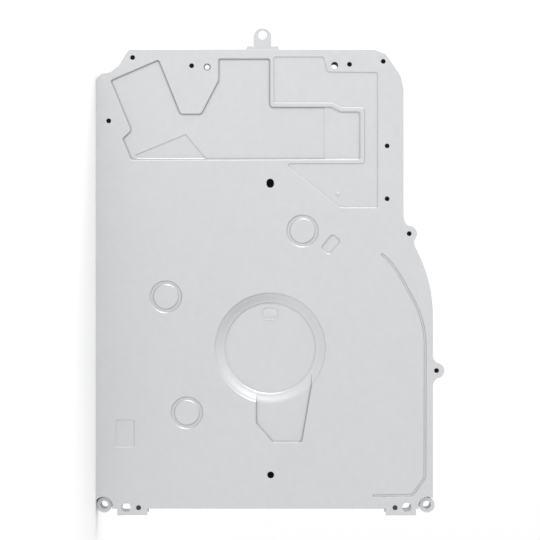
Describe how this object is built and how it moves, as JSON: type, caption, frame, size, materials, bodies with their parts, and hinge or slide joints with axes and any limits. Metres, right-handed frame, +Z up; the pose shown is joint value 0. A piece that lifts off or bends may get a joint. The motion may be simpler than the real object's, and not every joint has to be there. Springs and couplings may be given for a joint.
{
  "type": "optical disc drive",
  "caption": "Slot-loading optical disc drive of a game console, sheet-steel covers with pressed fields, rubber-damped pickup unit, roller feed and disc clamp",
  "frame": {"origin": "middle of the bounding box's base, on the long straight side the drive stands on", "axes": "+X out of the underside, -X out of the label side, -Y out of the disc slot, +Y to the rear tab, +Z up across the drive"},
  "size_m": [0.0182, 0.2152, 0.153],
  "materials": {
    "top_cover": "zinc-plated sheet, satin",
    "bottom_cover": "zinc-plated sheet, satin",
    "slot_frame": "fine grain",
    "felt_strips": "short felt",
    "cover_screws": "black zinc",
    "chassis_screws": "black zinc",
    "inner_chassis": "fine grain",
    "insulating_film": "amber film",
    "circuit_board": "green lacquer",
    "board_chips": "moulded package",
    "wire_connector": "cream moulding",
    "ribbon_connector": "pale moulding",
    "ribbon_latch": "fine grain",
    "dampers": "matt",
    "mount_screws": "bright plated",
    "unit_base": "satin",
    "guide_rods": "ground rod",
    "spindle_base": "coated laminate",
    "spindle_rotor": "turned",
    "turntable_ring": "matt",
    "sled_body": "die-cast zinc",
    "lens_holder": "fine grain",
    "lens": "coated",
    "feed_motor": "brushed",
    "lead_screw": "bright",
    "clamp_arm": "brushed",
    "clamp_hinge": "brushed",
    "clamper": "moulded",
    "feed_roller": "matt",
    "roller_shaft": "bright",
    "roller_gear": "natural acetal",
    "roller_bearings": "fine grain",
    "worm_wheel": "natural acetal",
    "gear_bracket": "brushed",
    "loading_motor": "brushed",
    "worm": "turned",
    "cam_slide": "natural acetal",
    "slide_guide": "fine grain",
    "lever_high": "moulded",
    "lever_low": "moulded",
    "lever_pivots": "brushed",
    "idler_gear_1": "natural acetal",
    "idler_gear_2": "natural acetal",
    "idler_gear_3": "natural acetal",
    "idler_gear_4": "natural acetal"
  },
  "bodies": {
    "housing": {"top_cover": "top_cover", "bottom_cover": "bottom_cover", "slot_frame": "slot_frame", "felt_strips": "felt_strips", "cover_screws": "cover_screws", "chassis_screws": "chassis_screws", "inner_chassis": "inner_chassis", "insulating_film": "insulating_film", "circuit_board": "circuit_board", "board_chips": "board_chips", "wire_connector": "wire_connector", "ribbon_connector": "ribbon_connector", "ribbon_latch": "ribbon_latch", "dampers": "dampers", "mount_screws": "mount_screws", "unit_base": "unit_base", "guide_rods": "guide_rods", "spindle_base": "spindle_base", "feed_motor": "feed_motor", "clamp_hinge": "clamp_hinge", "roller_bearings": "roller_bearings", "gear_bracket": "gear_bracket", "loading_motor": "loading_motor", "slide_guide": "slide_guide", "lever_pivots": "lever_pivots"},
    "spindle": {"spindle_rotor": "spindle_rotor", "turntable_ring": "turntable_ring"},
    "sled": {"sled_body": "sled_body"},
    "focus": {"lens_holder": "lens_holder", "lens": "lens"},
    "leadscrew": {"lead_screw": "lead_screw"},
    "clamp": {"clamp_arm": "clamp_arm"},
    "puck": {"clamper": "clamper"},
    "roller": {"feed_roller": "feed_roller", "roller_shaft": "roller_shaft", "roller_gear": "roller_gear"},
    "wheel": {"worm_wheel": "worm_wheel"},
    "drive_worm": {"worm": "worm"},
    "slide": {"cam_slide": "cam_slide"},
    "sense_high": {"lever_high": "lever_high"},
    "sense_low": {"lever_low": "lever_low"},
    "idler_1": {"idler_gear_1": "idler_gear_1"},
    "idler_2": {"idler_gear_2": "idler_gear_2"},
    "idler_3": {"idler_gear_3": "idler_gear_3"},
    "idler_4": {"idler_gear_4": "idler_gear_4"}
  },
  "joints": [
    {"name": "spindle_spin", "type": "hinge", "parent": "housing", "child": "spindle", "pos_m": [0.0007, -0.03435, 0.0766], "axis": [-1, 0, 0], "continuous": true},
    {"name": "puck_spin", "type": "hinge", "parent": "clamp", "child": "puck", "pos_m": [-0.0068, -0.03435, 0.0766], "axis": [-1, 0, 0], "continuous": true},
    {"name": "sled_travel", "type": "slide", "parent": "housing", "child": "sled", "axis": [0, -0.5299, -0.848], "range_m": [0, 0.033]},
    {"name": "screw_turn", "type": "hinge", "parent": "housing", "child": "leadscrew", "pos_m": [0.002, -0.03193, 0.03971], "axis": [0, -0.5299, -0.848], "range_deg": [0, 5940.1]},
    {"name": "focus_travel", "type": "slide", "parent": "sled", "child": "focus", "axis": [-1, 0, 0], "range_m": [-0.0005, 0.0005]},
    {"name": "clamp_drop", "type": "hinge", "parent": "housing", "child": "clamp", "pos_m": [-0.0068, 0.02925, 0.0766], "axis": [0, 0, 1], "range_deg": [0, 2.16]},
    {"name": "slide_travel", "type": "slide", "parent": "housing", "child": "slide", "axis": [0, 1, 0], "range_m": [0, 0.012]},
    {"name": "roller_turn", "type": "hinge", "parent": "housing", "child": "roller", "pos_m": [-0.0002, -0.09175, 0.0766], "axis": [0, 0, 1], "continuous": true},
    {"name": "wheel_turn", "type": "hinge", "parent": "housing", "child": "wheel", "pos_m": [0.00249, -0.03639, 0.0038], "axis": [0, 0, 1], "continuous": true},
    {"name": "worm_turn", "type": "hinge", "parent": "housing", "child": "drive_worm", "pos_m": [-0.0032, -0.03639, 0.0067], "axis": [0, 1, 0], "continuous": true},
    {"name": "sense_high_swing", "type": "hinge", "parent": "housing", "child": "sense_high", "pos_m": [-0.0068, 0.03325, 0.1216], "axis": [1, 0, 0], "range_deg": [0, 30]},
    {"name": "sense_low_swing", "type": "hinge", "parent": "housing", "child": "sense_low", "pos_m": [-0.0068, 0.03325, 0.0316], "axis": [-1, 0, 0], "range_deg": [0, 30]},
    {"name": "idler_1_turn", "type": "hinge", "parent": "housing", "child": "idler_1", "pos_m": [-0.0008, -0.08077, 0.0038], "axis": [0, 0, 1], "continuous": true},
    {"name": "idler_2_turn", "type": "hinge", "parent": "housing", "child": "idler_2", "pos_m": [-0.0008, -0.06877, 0.0038], "axis": [0, 0, 1], "continuous": true},
    {"name": "idler_3_turn", "type": "hinge", "parent": "housing", "child": "idler_3", "pos_m": [-0.0008, -0.05677, 0.0038], "axis": [0, 0, 1], "continuous": true},
    {"name": "idler_4_turn", "type": "hinge", "parent": "housing", "child": "idler_4", "pos_m": [-0.0008, -0.04477, 0.0038], "axis": [0, 0, 1], "continuous": true}
  ],
  "couplings": [
    {"joint": "puck_spin", "follows": "spindle_spin", "ratio": 1},
    {"joint": "screw_turn", "follows": "sled_travel", "rad_per_m": 3141.6},
    {"joint": "clamp_drop", "follows": "slide_travel", "rad_per_m": 3.1446},
    {"joint": "sense_low_swing", "follows": "sense_high_swing", "ratio": 1},
    {"joint": "idler_1_turn", "follows": "roller_turn", "ratio": -0.83333},
    {"joint": "idler_2_turn", "follows": "roller_turn", "ratio": 0.83333},
    {"joint": "idler_3_turn", "follows": "roller_turn", "ratio": -0.83333},
    {"joint": "idler_4_turn", "follows": "roller_turn", "ratio": 0.83333},
    {"joint": "wheel_turn", "follows": "roller_turn", "ratio": -1.6667},
    {"joint": "worm_turn", "follows": "roller_turn", "ratio": -30}
  ]
}
